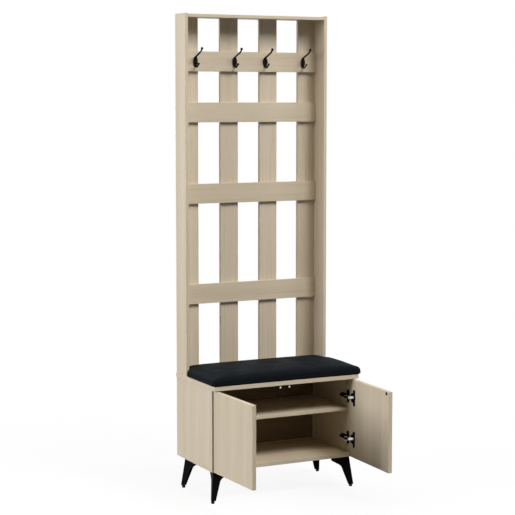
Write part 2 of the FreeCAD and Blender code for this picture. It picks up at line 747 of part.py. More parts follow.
def hinge_arm(z):
    """A channel that lies on the mounting plate and reaches forward over both link pins."""
    root_x = -inner_x + hinge_plate_thickness
    top_x = -inner_x + hinge_arm_height
    rear_y = cabinet_front_y + hinge_arm_back
    shoulder_y = cabinet_front_y + hinge_arm_shoulder
    nose = vec(hinge_nose_radius, 0)
    outline = [
        vec(root_x, rear_y),
        vec(root_x, cabinet_front_y + arm_outer_pin_back),
        arm_inner_pin - nose,
        arm_inner_pin + nose,
        arm_outer_pin + nose,
        vec(top_x, shoulder_y),
        vec(top_x, rear_y),
    ]
    arm = None
    for layer in mirrored_layers(arm_layer, z):
        foot = UP * min(layer)
        thickness = UP * (max(layer) - min(layer))
        cheek = plate([point + foot for point in outline], [0] * len(outline), thickness)
        for pin in (arm_outer_pin, arm_inner_pin):
            cheek = cheek.fuse(rod(pin + foot, UP, hinge_nose_radius, thickness.Length))
        arm = cheek if arm is None else arm.fuse(cheek)
    web_x = (top_x - hinge_arm_sheet, top_x)
    arm = arm.fuse(block(web_x, (shoulder_y, rear_y), (z - hinge_arm_half_width, z + hinge_arm_half_width)))
    for pin in (arm_outer_pin, arm_inner_pin):
        bore_foot = pin + UP * (z - hinge_arm_half_width)
        arm = arm.cut(rod(bore_foot, UP, hinge_pin_radius + fit_gap, 2 * hinge_arm_half_width))
    return arm.removeSplitter().Solids[0]


def hinge_plate(z):
    """A cross-shaped mounting plate: a bar under the arm and two wings with screw holes."""
    wing_y = cabinet_front_y + hinge_wing_from_front
    bar_start_y = cabinet_front_y + hinge_plate_from_front
    bar_y = (bar_start_y, bar_start_y + hinge_plate_length)
    x_range = (-inner_x, -inner_x + hinge_plate_thickness)
    bar = block(x_range, bar_y, (z - hinge_plate_bar / 2, z + hinge_plate_bar / 2))
    half_width = hinge_wing_width / 2
    half_height = hinge_wing_height / 2
    corners = [
        vec(-inner_x, wing_y + along * half_width, z + up * half_height)
        for along, up in ((-1, -1), (1, -1), (1, 1), (-1, 1))
    ]
    wings = plate(corners, [half_width - edge_break] * len(corners), ALONG_X * hinge_plate_thickness)
    return bar.fuse(wings).removeSplitter()


hinge_screw_places = []
for z in hinge_heights:
    put("left_hinge_plates", hinge_plate(z))
    put("left_hinge_arms", hinge_arm(z))
    for layer in mirrored_layers(link_layer, z):
        put("left_outer_links", outer_link_plate(layer))
    put("left_inner_links", inner_link(z))
    for pin, half_length in ((arm_outer_pin, link_layer[1]), (arm_inner_pin, hinge_arm_half_width)):
        put("left_hinge_arms", rod(pin + UP * (z - half_length), UP, hinge_pin_radius, 2 * half_length))
    for shift in (-hinge_wing_screw_spacing / 2, hinge_wing_screw_spacing / 2):
        wing = vec(-inner_x + hinge_plate_thickness, cabinet_front_y + hinge_wing_from_front, z + shift)
        hinge_screw_places.append((wing, -ALONG_X, ("left_side_panel", "left_hinge_plates")))
set_screws("left_hinge_screws", fitting_screw, hinge_screw_places)

# The right side mirrors the left
hinge_pieces = (
    "left_hinge_plates",
    "left_hinge_arms",
    "left_outer_links",
    "left_inner_links",
    "left_hinge_screws",
)
for name in left_door_pieces + hinge_pieces:
    pieces[name.replace("left", "right")] = [mirrored(solid) for solid in pieces[name]]
for point, direction, held in hinge_screw_places:
    bore = placed(screw_bore(*fitting_screw, False), point, direction)
    cut("right_side_panel", mirrored(bore))
for name in ("hinge_plates", "hinge_arms", "hinge_screws"):
    pieces[name] = pieces.pop(f"left_{name}") + pieces.pop(f"right_{name}")
pieces["cabinet_screws"] = pieces.pop("hinge_screws")

# Double push latch: a housing with two barrels under the seat board, and a sprung plunger in each
tip_front_y = strike_y + seat_gap
head_front_y = tip_front_y + plunger_tip_thickness / 2
head_back_y = head_front_y + plunger_head_thickness
barrel_front_y = head_back_y + plunger_travel + latch_head_room
barrel_back_y = barrel_front_y + latch_barrel_length
latch_x = latch_spacing / 2
latch_half_width = latch_plate_width / 2
plate_z = seat_under_z - latch_plate_thickness
plate_corners = [
    vec(-latch_half_width, barrel_front_y, plate_z),
    vec(latch_half_width, barrel_front_y, plate_z),
    vec(latch_half_width, barrel_back_y, plate_z),
    vec(-latch_half_width, barrel_back_y, plate_z),
]
housing = plate(plate_corners, [latch_plate_round] * len(plate_corners), UP * latch_plate_thickness)
for side in (-1, 1):
    axis_foot = vec(side * latch_x, barrel_front_y, latch_z)
    rib_x = (side * latch_x - latch_barrel_radius, side * latch_x + latch_barrel_radius)
    housing = housing.fuse(rod(axis_foot, ALONG_Y, latch_barrel_radius, latch_barrel_length))
    housing = housing.fuse(block(rib_x, (barrel_front_y, barrel_back_y), (latch_z, plate_z)))
for side in (-1, 1):
    axis_foot = vec(side * latch_x, barrel_front_y, latch_z)
    housing = housing.cut(rod(axis_foot, ALONG_Y, latch_bore_radius, latch_barrel_length - latch_bore_floor))
put("latch_housing", housing.removeSplitter().Solids[0])
latch_screw_places = []
for y in (barrel_front_y + latch_screw_from_ends, barrel_back_y - latch_screw_from_ends):
    latch_screw_places.append((vec(0, y, plate_z), UP, ("latch_housing", "seat_board")))
set_screws("cabinet_screws", fitting_screw, latch_screw_places)


def latch_spring(x):
    """A compression spring between the plunger's rod and the floor of its bore."""
    wire_radius = latch_bore_radius - slide_gap - seat_gap - spring_wire_radius
    start_y = head_back_y + plunger_rod_length + seat_gap + spring_wire_radius
    end_y = barrel_back_y - latch_bore_floor - seat_gap - spring_wire_radius
    pitch = (end_y - start_y) / spring_turns
    helix = Part.makeHelix(pitch, end_y - start_y, wire_radius)
    start = helix.Edges[0].valueAt(helix.Edges[0].FirstParameter)
    heading = helix.Edges[0].tangentAt(helix.Edges[0].FirstParameter)
    profile = Part.Wire(Part.makeCircle(spring_wire_radius, start, heading))
    coil = Part.Wire(helix.Edges).makePipeShell([profile], True, True)
    return placed(coil, vec(x, start_y, latch_z), ALONG_Y)


for prefix, side in (("left", -1), ("right", 1)):
    x = side * latch_x
    head = rod(vec(x, head_front_y, latch_z), ALONG_Y, plunger_head_radius, plunger_head_thickness)
    stem = rod(vec(x, head_back_y, latch_z), ALONG_Y, latch_bore_radius - slide_gap, plunger_rod_length)
    tip = rod(vec(x, tip_front_y, latch_z), ALONG_Y, plunger_tip_radius, plunger_tip_thickness)
    socket = rod(vec(x, tip_front_y, latch_z), ALONG_Y, plunger_tip_radius + fit_gap, plunger_tip_thickness)
    put(f"{prefix}_plunger", head.fuse(stem).removeSplitter().cut(socket).Solids[0])
    put(f"{prefix}_plunger_tip", tip)
    put(f"{prefix}_latch_spring", latch_spring(x))

# Legs: the wings of the left front leg lie either side of the line to the middle of the cabinet
leg_foot_z = glide_height
leg_drop = leg_height - leg_foot_z


def leg_wing(corner_top, corner_foot, direction, thickness_side):
    """One wing: wide along the cabinet, drawn in by a concave gusset, then tapering to the foot."""
    slope = (corner_foot - corner_top) * (1 / leg_drop)

    def at(width, drop):
        return corner_top + slope * drop + direction * width

    points = [
        at(0, 0),
        at(leg_wing_top, 0),
        at(leg_wing_top, leg_wing_end),
        at(leg_elbow_width, leg_elbow_drop),
        at(leg_foot_width, leg_drop),
        at(0, leg_drop),
    ]
    normal = direction.cross(slope).normalize() * (leg_sheet * thickness_side)
    return plate(points, [0, 0, leg_tip_round, leg_elbow_round, 0, 0], normal)


def leg(corner_x, corner_y, x_inward, y_inward):
    """A leg whose outer corner runs outward and down, with its top plate and foot plate."""
    corner_top = vec(corner_x, corner_y, leg_height)
    corner_foot = vec(corner_x - x_inward * leg_splay, corner_y - y_inward * leg_splay, leg_foot_z)
    half_angle = math.radians(leg_included_angle) / 2
    near_x = vec(x_inward * math.cos(math.pi / 4 - half_angle), y_inward * math.sin(math.pi / 4 - half_angle))
    near_y = vec(x_inward * math.sin(math.pi / 4 - half_angle), y_inward * math.cos(math.pi / 4 - half_angle))
    turn = x_inward * y_inward
    body = leg_wing(corner_top, corner_foot, near_x, turn)
    body = body.fuse(leg_wing(corner_top, corner_foot, near_y, -turn))
    for top, width, thickness in (
        (corner_top, leg_wing_top - leg_plate_setback, -UP * leg_plate_thickness),
        (corner_foot, leg_foot_width, UP * leg_plate_thickness),
    ):
        triangle = [top, top + near_x * width, top + near_y * width]
        body = body.fuse(plate(triangle, [0] * len(triangle), thickness))
    screw_points = []
    for share_x, share_y in leg_screw_inset_shares:
        spot = corner_top + near_x * (leg_wing_top * share_x) + near_y * (leg_wing_top * share_y)
        screw_points.append(spot - UP * leg_plate_thickness)
    inward = vec(x_inward, y_inward).normalize()
    reach_x = cabinet_x + leg_splay
    body = body.common(block((-reach_x, reach_x), (-seat_depth, seat_depth), (leg_foot_z, leg_height)))
    return body.removeSplitter(), screw_points, vec(corner_foot.x, corner_foot.y) + inward * glide_from_corner


leg_screw_places = []
for name, x_inward, y_inward in (
    ("front_left_leg", 1, 1),
    ("front_right_leg", -1, 1),
    ("back_left_leg", 1, -1),
    ("back_right_leg", -1, -1),
):
    corner_x = -x_inward * (cabinet_x - leg_corner_from_side)
    corner_y = cabinet_front_y + leg_corner_from_front if y_inward > 0 else back_y - leg_corner_from_back
    body, screw_points, glide_centre = leg(corner_x, corner_y, x_inward, y_inward)
    put(name, body)
    for point in screw_points:
        leg_screw_places.append((point, UP, (name, "bottom_board")))
    glide = Part.makeCylinder(glide_radius, glide_height, glide_centre)
    lower_edge = min(glide.Edges, key=lambda edge: edge.BoundBox.ZMax)
    put("foot_glides", glide.makeFillet(glide_round, [lower_edge]))
set_screws("leg_screws", leg_screw, leg_screw_places)


def crown_section(x, lowered):
    """An outline across the cushion: flat below, a shallow crown above."""
    front_end_y = cushion_front_y - overrun
    back_end_y = cushion_back_y + overrun
    top_z = seat_height + cushion_thickness - lowered
    front_top = vec(x, front_end_y, top_z - cushion_front_drop)
    back_top = vec(x, back_end_y, top_z - cushion_back_drop)
    return Part.Wire([
        Part.makeLine(vec(x, back_end_y, seat_height), vec(x, front_end_y, seat_height)),
        Part.makeLine(vec(x, front_end_y, seat_height), front_top),
        Part.Arc(front_top, vec(x, (cushion_front_y + cushion_back_y) / 2, top_z), back_top).toShape(),
        Part.makeLine(back_top, vec(x, back_end_y, seat_height)),
    ])


# Seat cushion over a base board: sides drawn in between round corners, a crowned top with rolled edges
cushion_left_x = -seat_x - cushion_left_overhang
cushion_right_x = seat_x + cushion_right_overhang
cushion_front_y = -back_y - cushion_front_overhang
cushion_back_y = slat_front_y - cushion_back_gap
cushion_neck_x = frame_inner_x - cushion_side_gap
neck_y = frame_front_y - cushion_frame_gap
shoulder_y = neck_y - cushion_shoulder
cushion_corners = [
    vec(cushion_left_x, cushion_front_y, seat_height),
    vec(cushion_right_x, cushion_front_y, seat_height),
    vec(cushion_right_x, shoulder_y, seat_height),
    vec(cushion_neck_x, neck_y, seat_height),
    vec(cushion_neck_x, cushion_back_y, seat_height),
    vec(-cushion_neck_x, cushion_back_y, seat_height),
    vec(-cushion_neck_x, neck_y, seat_height),
    vec(cushion_left_x, shoulder_y, seat_height),
]
right_rounds = [cushion_corner, cushion_shoulder_round, cushion_neck_round, cushion_back_corner]
corner_rounds = [cushion_corner] + right_rounds + right_rounds[:0:-1]


def drawn_side(line):
    """A straight side bent a little towards the inside, which lies on its left."""
    start = line.valueAt(line.FirstParameter)
    end = line.valueAt(line.LastParameter)
    inward = UP.cross((end - start).normalize())
    return Part.Arc(start, (start + end) / 2 + inward * cushion_draw_in, end).toShape()


outline_edges = []
for edge in rounded_edges(cushion_corners, corner_rounds, True):
    straight = edge.Curve.TypeId == "Part::GeomLine"
    long_side = edge.Length > cushion_back_gap + cushion_back_corner
    outline_edges.append(drawn_side(edge) if straight and long_side else edge)
outline = Part.Wire(outline_edges)
cushion_middle_x = (cushion_left_x + cushion_right_x) / 2
crown_reach = (cushion_right_x - cushion_left_x) / 2 + overrun
crown_places = []
for share_along, share_down in cushion_crown_shares:
    crown_places.append((crown_reach * share_along, cushion_end_drop * share_down))
crown_places = [(-x, lowered) for x, lowered in crown_places[:0:-1]] + crown_places
crown_sections = [crown_section(cushion_middle_x + x, lowered) for x, lowered in crown_places]
crown = Part.makeLoft(crown_sections, True, False, False, cushion_crown_degree)
cushion = Part.Face(outline).extrude(UP * (cushion_thickness + overrun)).common(crown).Solids[0]
top_edges = []
for edge in cushion.Edges:
    if edge.BoundBox.ZMin > seat_height + overrun and edge.BoundBox.ZLength < cushion_roll:
        top_edges.append(edge)
cushion = cushion.makeFillet(cushion_roll, top_edges)
low_edges = [edge for edge in cushion.Edges if edge.BoundBox.ZMax < seat_height + overrun]
cushion = cushion.makeFillet(cushion_tuck, low_edges)
base_z = seat_height + cushion_base_thickness
base_half = cushion_neck_x - cushion_base_inset
base_x = (-base_half, base_half)
base_y = (cushion_front_y + cushion_base_inset, cushion_back_y - cushion_base_inset)
put("cushion_base", board(base_x, base_y, (seat_height, base_z)))
recess = block(
    (base_x[0] - seat_gap, base_x[1] + seat_gap),
    (base_y[0] - seat_gap, base_y[1] + seat_gap),
    (seat_height - overrun, base_z + fit_gap),
)
put("cushion_pad", cushion.cut(recess))
cushion_screw_places = []
for x in (base_x[0] + cushion_screw_inset, base_x[1] - cushion_screw_inset):
    for y in (base_y[0] + cushion_screw_inset, base_y[1] - cushion_screw_inset):
        cushion_screw_places.append((vec(x, y, seat_under_z), UP, ("seat_board", "cushion_base")))
set_screws("cushion_screws", cushion_screw, cushion_screw_places)

# One file per named piece; a group of like pieces shares a file
os.makedirs("parts", exist_ok=True)
for name, solids in pieces.items():
    shape = solids[0] if len(solids) == 1 else Part.makeCompound(solids)
    shape.exportStep(f"parts/{name}.step")
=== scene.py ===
import json
import math

import bmesh
import bpy
import numpy
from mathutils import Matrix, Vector


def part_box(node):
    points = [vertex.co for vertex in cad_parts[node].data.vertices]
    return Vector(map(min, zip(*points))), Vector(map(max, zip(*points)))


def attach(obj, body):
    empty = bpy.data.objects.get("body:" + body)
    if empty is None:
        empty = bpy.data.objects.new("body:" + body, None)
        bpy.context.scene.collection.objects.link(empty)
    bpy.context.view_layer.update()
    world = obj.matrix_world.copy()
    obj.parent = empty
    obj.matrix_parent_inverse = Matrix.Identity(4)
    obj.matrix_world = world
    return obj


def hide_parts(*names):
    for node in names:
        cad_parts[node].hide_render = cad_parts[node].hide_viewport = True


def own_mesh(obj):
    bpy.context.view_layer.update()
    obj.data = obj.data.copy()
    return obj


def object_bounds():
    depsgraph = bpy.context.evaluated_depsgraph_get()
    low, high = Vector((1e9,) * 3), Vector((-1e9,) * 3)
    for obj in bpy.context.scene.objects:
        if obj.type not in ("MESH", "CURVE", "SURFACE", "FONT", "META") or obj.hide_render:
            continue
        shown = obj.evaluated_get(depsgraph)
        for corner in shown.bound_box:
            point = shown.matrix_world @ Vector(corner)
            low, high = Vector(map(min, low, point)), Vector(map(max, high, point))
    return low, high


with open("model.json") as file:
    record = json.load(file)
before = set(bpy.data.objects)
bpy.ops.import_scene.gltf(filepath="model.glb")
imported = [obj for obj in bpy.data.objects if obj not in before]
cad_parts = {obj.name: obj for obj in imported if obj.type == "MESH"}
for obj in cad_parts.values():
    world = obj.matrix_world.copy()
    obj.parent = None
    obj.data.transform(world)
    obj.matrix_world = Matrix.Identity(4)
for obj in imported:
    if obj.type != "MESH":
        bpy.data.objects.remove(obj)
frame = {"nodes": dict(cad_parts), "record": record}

cad_low, cad_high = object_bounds()
nodes = frame["nodes"]
slot_of_node = {row["node"]: row["material_slot"] for row in frame["record"]["subparts"]}

MM = 0.001
RIGID_BODY = "hall_tree"

# Boards whose grain stands upright; the grain of all the others runs from side to side
UPRIGHT_BOARDS = {
    "left_frame_side",
    "right_frame_side",
    "slat_1",
    "slat_2",
    "slat_3",
    "slat_4",
    "left_side_panel",
    "right_side_panel",
    "left_door",
    "right_door",
}

# Sizes of the patterns in mm; those of wood are the width and the length of a feature
OAK_BAND = (46, 1300)
# The print's own lines are about 1.5 mm wide; they are drawn coarser to show
OAK_LINE = (5, 420)
OAK_PORE = (1.6, 26)
OAK_EMBOSSING = 0.12
HARDBOARD_LINE = (7, 420)
HARDBOARD_FIBRE = 3
HARDBOARD_RELIEF = 0.2
# The real pebbles are about 1 mm; they are drawn larger to show
LEATHER_PEBBLE = 2.4
LEATHER_PEBBLE_DEPTH = 0.25
LEATHER_DRAG = 55
LEATHER_DRAG_DEPTH = 2.0


def linear(hex_colour):
    """An sRGB hex colour as linear red, green, blue and alpha."""
    channels = [int(hex_colour[i:i + 2], 16) / 255 for i in (1, 3, 5)]
    bright = [c / 12.92 if c <= 0.04045 else ((c + 0.055) / 1.055) ** 2.4 for c in channels]
    return bright + [1.0]


def add(tree, kind, inputs=None, **settings):
    """Adds one node, sets its properties, then fills or links its inputs."""
    node = tree.nodes.new(kind)
    for name, value in settings.items():
        setattr(node, name, value)
    for key, value in (inputs or {}).items():
        if isinstance(value, bpy.types.NodeSocket):
            tree.links.new(value, node.inputs[key])
        else:
            node.inputs[key].default_value = value
    return node


def finish_named(name):
    """An empty material with its shader and the object's own coordinates."""
    material = bpy.data.materials.new(name)
    material.use_nodes = True
    tree = material.node_tree
    shader = tree.nodes["Principled BSDF"]
    place = add(tree, "ShaderNodeTexCoord").outputs["Object"]
    return material, tree, shader, place


def per_metre(millimetres):
    """The scale of a pattern whose features are so many millimetres apart."""
    return 1 / (millimetres * MM)


def along_grain(tree, place, width_and_length, upright):
    """Coordinates in which a feature of the grain, so wide and so long, is one unit each way."""
    across, along = map(per_metre, width_and_length)
    scale = (across, across, along) if upright else (along, across, across)
    return add(tree, "ShaderNodeMapping", {"Vector": place, "Scale": scale}).outputs["Vector"]


def oak_board(name, upright):
    """Melamine-faced board with a pale oak print: straight grain, satin, embossed at its pores."""
    material, tree, shader, place = finish_named(name)

    # Broad bands of lighter and darker wood, the grain lines over them, and short open pores
    bands = add(tree, "ShaderNodeTexNoise", {
        "Vector": along_grain(tree, place, OAK_BAND, upright),
        "Scale": 1.0, "Detail": 2.0, "Roughness": 0.5, "Distortion": 0.4})
    lines = add(tree, "ShaderNodeTexNoise", {
        "Vector": along_grain(tree, place, OAK_LINE, upright),
        "Scale": 1.0, "Detail": 4.0, "Roughness": 0.62, "Distortion": 0.25})
    pores = add(tree, "ShaderNodeTexNoise", {
        "Vector": along_grain(tree, place, OAK_PORE, upright),
        "Scale": 1.0, "Detail": 2.0, "Roughness": 0.5})
    band_tone = add(tree, "ShaderNodeValToRGB", {"Fac": bands.outputs["Fac"]})
    darker, lighter = band_tone.color_ramp.elements
    darker.position = 0.34
    darker.color = linear("#CDBDA1")
    lighter.position = 0.66
    lighter.color = linear("#D5C7AE")
    line_depth = add(tree, "ShaderNodeMapRange", {
        "Value": lines.outputs["Fac"],
        "From Min": 0.54, "From Max": 0.7, "To Min": 0.0, "To Max": 0.45})
    lined = add(tree, "ShaderNodeMix", {
        "Factor": line_depth.outputs["Result"],
        "A": band_tone.outputs["Color"], "B": linear("#B29F80")}, data_type="RGBA")
    pore_depth = add(tree, "ShaderNodeMapRange", {
        "Value": pores.outputs["Fac"],
        "From Min": 0.62, "From Max": 0.74, "To Min": 0.0, "To Max": 0.3})
    wood = add(tree, "ShaderNodeMix", {
        "Factor": pore_depth.outputs["Result"],
        "A": lined.outputs["Result"], "B": linear("#9C8868")}, data_type="RGBA")
    satin = add(tree, "ShaderNodeMapRange", {
        "Value": lines.outputs["Fac"],
        "From Min": 0.3, "From Max": 0.7, "To Min": 0.46, "To Max": 0.58})
    relief = add(tree, "ShaderNodeMath", {
        0: pore_depth.outputs["Result"], 1: line_depth.outputs["Result"]}, operation="ADD")
    embossed = add(tree, "ShaderNodeBump", {
        "Height": relief.outputs["Value"],
        "Strength": 0.25, "Distance": OAK_EMBOSSING * MM}, invert=True)
    tree.links.new(wood.outputs["Result"], shader.inputs["Base Color"])
    tree.links.new(satin.outputs["Result"], shader.inputs["Roughness"])
    tree.links.new(embossed.outputs["Normal"], shader.inputs["Normal"])
    shader.inputs["IOR"].default_value = 1.5
    shader.inputs["Specular IOR Level"].default_value = 0.3
    return material


def speckled(name, colours, grain_mm, roughness, bump_mm,
             metallic=0.0, specular=0.5, stretch=(1, 1, 1)):
    """A finish of two close tones in grains of one size; roughness and relief follow the grains."""
    material, tree, shader, place = finish_named(name)
    scale = [per_metre(grain_mm) * share for share in stretch]
    grain_place = add(tree, "ShaderNodeMapping", {"Vector": place, "Scale": scale})
    grains = add(tree, "ShaderNodeTexNoise", {
        "Vector": grain_place.outputs["Vector"],
        "Scale": 1.0, "Detail": 3.0, "Roughness": 0.55})
    tone = add(tree, "ShaderNodeMix", {
        "Factor": grains.outputs["Fac"],
        "A": linear(colours[0]), "B": linear(colours[1])}, data_type="RGBA")
    gloss = add(tree, "ShaderNodeMapRange", {
        "Value": grains.outputs["Fac"],
        "From Min": 0.3, "From Max": 0.7, "To Min": roughness[0], "To Max": roughness[1]})
    relief = add(tree, "ShaderNodeBump", {
        "Height": grains.outputs["Fac"], "Strength": 0.5, "Distance": bump_mm * MM})
    tree.links.new(tone.outputs["Result"], shader.inputs["Base Color"])
    tree.links.new(gloss.outputs["Result"], shader.inputs["Roughness"])
    tree.links.new(relief.outputs["Normal"], shader.inputs["Normal"])
    shader.inputs["Metallic"].default_value = metallic
    shader.inputs["Specular IOR Level"].default_value = specular
    return material


def leatherette():
    """Calendered PVC leather cloth: matte black, pressed with fine pebbles, softly dragged."""
    material, tree, shader, place = finish_named("black_leatherette_embossed")
    pebbles = add(tree, "ShaderNodeTexVoronoi", {
        "Vector": place, "Scale": per_metre(LEATHER_PEBBLE), "Randomness": 1.0},
        feature="SMOOTH_F1")
    drags = add(tree, "ShaderNodeTexNoise", {
        "Vector": place, "Scale": per_metre(LEATHER_DRAG), "Detail": 2.0, "Roughness": 0.5})
    tone = add(tree, "ShaderNodeMix", {
        "Factor": pebbles.outputs["Distance"],
        "A": linear("#14181C"), "B": linear("#0C0E11")}, data_type="RGBA")
    gloss = add(tree, "ShaderNodeMapRange", {
        "Value": drags.outputs["Fac"],
        "From Min": 0.3, "From Max": 0.7, "To Min": 0.6, "To Max": 0.74})
    grain = add(tree, "ShaderNodeBump", {
        "Height": pebbles.outputs["Distance"],
        "Strength": 0.35, "Distance": LEATHER_PEBBLE_DEPTH * MM}, invert=True)
    creased = add(tree, "ShaderNodeBump", {
        "Height": drags.outputs["Fac"], "Normal": grain.outputs["Normal"],
        "Strength": 0.4, "Distance": LEATHER_DRAG_DEPTH * MM})
    tree.links.new(tone.outputs["Result"], shader.inputs["Base Color"])
    tree.links.new(gloss.outputs["Result"], shader.inputs["Roughness"])
    tree.links.new(creased.outputs["Normal"], shader.inputs["Normal"])
    shader.inputs["IOR"].default_value = 1.5
    shader.inputs["Specular IOR Level"].default_value = 0.025
    return material


def hardboard():
    """Pressed hardboard: an oak print faces the shoes, darkened as painted shade for the dim inside
    of the cabinet; raw brown fibres face the wall.
    """
    material, tree, shader, place = finish_named("hardboard_printed_one_side")
    fibres = add(tree, "ShaderNodeTexNoise", {
        "Vector": place, "Scale": per_metre(HARDBOARD_FIBRE), "Detail": 5.0, "Roughness": 0.7})
    lines = add(tree, "ShaderNodeTexNoise", {
        "Vector": along_grain(tree, place, HARDBOARD_LINE, upright=False),
        "Scale": 1.0, "Detail": 4.0, "Roughness": 0.62})
    # The print's two tones are painted darker than the print, as painted shade for the inside of
    # the cabinet
    print_darkened_as_shade = add(tree, "ShaderNodeMix", {
        "Factor": lines.outputs["Fac"],
        "A": linear("#7A6444"), "B": linear("#665032")}, data_type="RGBA")
    raw = add(tree, "ShaderNodeMix", {
        "Factor": fibres.outputs["Fac"],
        "A": linear("#8A6A48"), "B": linear("#6F5236")}, data_type="RGBA")
    facing = add(tree, "ShaderNodeSeparateXYZ", {
        "Vector": add(tree, "ShaderNodeNewGeometry").outputs["True Normal"]})
    wall_side = add(tree, "ShaderNodeMath", {
        0: facing.outputs["Y"], 1: 0.5}, operation="GREATER_THAN")
    colour = add(tree, "ShaderNodeMix", {
        "Factor": wall_side.outputs["Value"],
        "A": print_darkened_as_shade.outputs["Result"], "B": raw.outputs["Result"]}, data_type="RGBA")
    relief = add(tree, "ShaderNodeBump", {
        "Height": fibres.outputs["Fac"],
        "Strength": 0.3, "Distance": HARDBOARD_RELIEF * MM})
    tree.links.new(colour.outputs["Result"], shader.inputs["Base Color"])
    tree.links.new(relief.outputs["Normal"], shader.inputs["Normal"])
    shader.inputs["Roughness"].default_value = 0.7
    return material


# Finishes by the record's slot; oak comes in two directions of grain
oak_upright = oak_board("oak_melamine_upright_grain", upright=True)
oak_across = oak_board("oak_melamine_level_grain", upright=False)
leather_cloth = leatherette()
finishes = {
    "back_board": hardboard(),
    # Birch plywood, sanded: pale with thin darker fibres
    "plywood": speckled(
        "birch_plywood_sanded", ("#C8AF86", "#B1966A"),
        grain_mm=9, roughness=(0.6, 0.75), bump_mm=0.15, stretch=(0.1, 1, 1)),
    # Turned beech: pink-brown with short flecks
    "beech": speckled(
        "beech_turned", ("#D0B48A", "#BE9D70"),
        grain_mm=4, roughness=(0.5, 0.65), bump_mm=0.1, stretch=(1, 1, 0.2)),
    "black_leatherette": leather_cloth,
    # Powder coat on steel: black with the slight orange peel of melted powder, and hardly any sheen
    "black_steel": speckled(
        "steel_black_powder_coat", ("#0A090A", "#0F0E0F"),
        grain_mm=1.6, roughness=(0.42, 0.52), bump_mm=0.08, specular=0.02),
    # Zinc die casting, black electro-coat: smoother than powder, so it takes small highlights
    "hook_black": speckled(
        "zinc_casting_black_coat", ("#0A090A", "#0F0E0F"),
        grain_mm=2.5, roughness=(0.3, 0.4), bump_mm=0.05, specular=0.08),
    # Bright nickel on stamped steel: pale, faintly drawn along the strip
    "nickel_steel": speckled(
        "steel_nickel_plated", ("#DAD5CC", "#C9C4BB"),
        grain_mm=1.2, roughness=(0.2, 0.3), bump_mm=0.02, metallic=1.0, stretch=(1, 1, 0.15)),
    # Zinc-plated screws: grey and a little cloudy
    "zinc_steel": speckled(
        "steel_zinc_plated", ("#B4B6B8", "#9FA2A5"),
        grain_mm=1.5, roughness=(0.3, 0.42), bump_mm=0.02, metallic=1.0),
    # Moulded nylon: black with a spark-eroded texture, drawn coarser than its 0.1 mm to show
    "black_plastic": speckled(
        "nylon_black_moulded", ("#101011", "#171718"),
        grain_mm=0.8, roughness=(0.5, 0.6), bump_mm=0.05, specular=0.1),
    # Moulded silicone of the door bumpers: milky and slightly glossy
    "white_plastic": speckled(
        "silicone_pad_moulded", ("#F2F0EA", "#ECE9E2"),
        grain_mm=3, roughness=(0.3, 0.4), bump_mm=0.02),
}
for name, node in nodes.items():
    if slot_of_node[name] == "oak_laminate":
        finish = oak_upright if name in UPRIGHT_BOARDS else oak_across
    else:
        finish = finishes[slot_of_node[name]]
    node.data.materials.clear()
    node.data.materials.append(finish)

# Seat cushion: the CAD pad's form, let out, then blown up by cloth and drawn in at its seam
pad_low, pad_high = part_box("cushion_pad")
base_low, base_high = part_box("cushion_base")
seat_z = pad_low.z
WELD = 0.01 * MM
RECESS_MARGIN = 1.0 * MM
LET_OUT = 4.0 * MM
VOXEL = 5.0 * MM
PRESSURE = 4.0
SIM_FRAMES = 20
SWELL_CAP = 4.0 * MM
SMALLEST_STEP = 0.001 * MM
EVEN_ROUNDS = 40
SIDE_GAP = 0.3 * MM
HELD_HEIGHT = 4.0 * MM
SEAM_HEIGHT = 13.0 * MM
SEAM_WIDTH = 2.2 * MM
SEAM_DEPTH = 0.8 * MM
PUCKER_PITCH = 16.0 * MM
PUCKER_SHARE = 0.25


def evaluated_mesh(piece):
    """A copy of a piece's mesh with its modifiers applied."""
    view = bpy.context.evaluated_depsgraph_get()
    return bpy.data.meshes.new_from_object(piece.evaluated_get(view))


def closed_pad():
    """The pad without the recess for its base board, let out by what the cover draws in again."""
    shape = bmesh.new()
    shape.from_mesh(nodes["cushion_pad"].data)
    bmesh.ops.remove_doubles(shape, verts=shape.verts, dist=WELD)
    recess = [
        v for v in shape.verts
        if v.co.z < base_high.z + RECESS_MARGIN
        and base_low.x - RECESS_MARGIN < v.co.x < base_high.x + RECESS_MARGIN
        and base_low.y - RECESS_MARGIN < v.co.y < base_high.y + RECESS_MARGIN
    ]
    bmesh.ops.delete(shape, geom=recess, context="VERTS")
    rim = [e for e in shape.edges if e.is_boundary]
    bmesh.ops.holes_fill(shape, edges=rim, sides=0)
    bmesh.ops.triangulate(shape, faces=shape.faces)
    middle = (pad_low + pad_high) / 2
    size = pad_high - pad_low
    for v in shape.verts:
        v.co.x = middle.x + (v.co.x - middle.x) * (1 + 2 * LET_OUT / size.x)
        v.co.y = middle.y + (v.co.y - middle.y) * (1 + 2 * LET_OUT / size.y)
        v.co.z = seat_z + (v.co.z - seat_z) * (1 + LET_OUT / size.z)
    mesh = bpy.data.meshes.new("seat_cushion")
    shape.to_mesh(mesh)
    shape.free()
    return mesh


def evened(mesh, steps):
    """The swelling shared out between neighbours, as foam does, so that no ridge is left."""
    steps = numpy.array([list(step) for step in steps])
    ends = numpy.array([list(edge.vertices) for edge in mesh.edges])
    count = numpy.bincount(ends.ravel(), minlength=len(steps))[:, None]
    for _ in range(EVEN_ROUNDS):
        around = numpy.zeros_like(steps)
        numpy.add.at(around, ends[:, 0], steps[ends[:, 1]])
        numpy.add.at(around, ends[:, 1], steps[ends[:, 0]])
        steps = (steps + around / count) / 2
    return steps


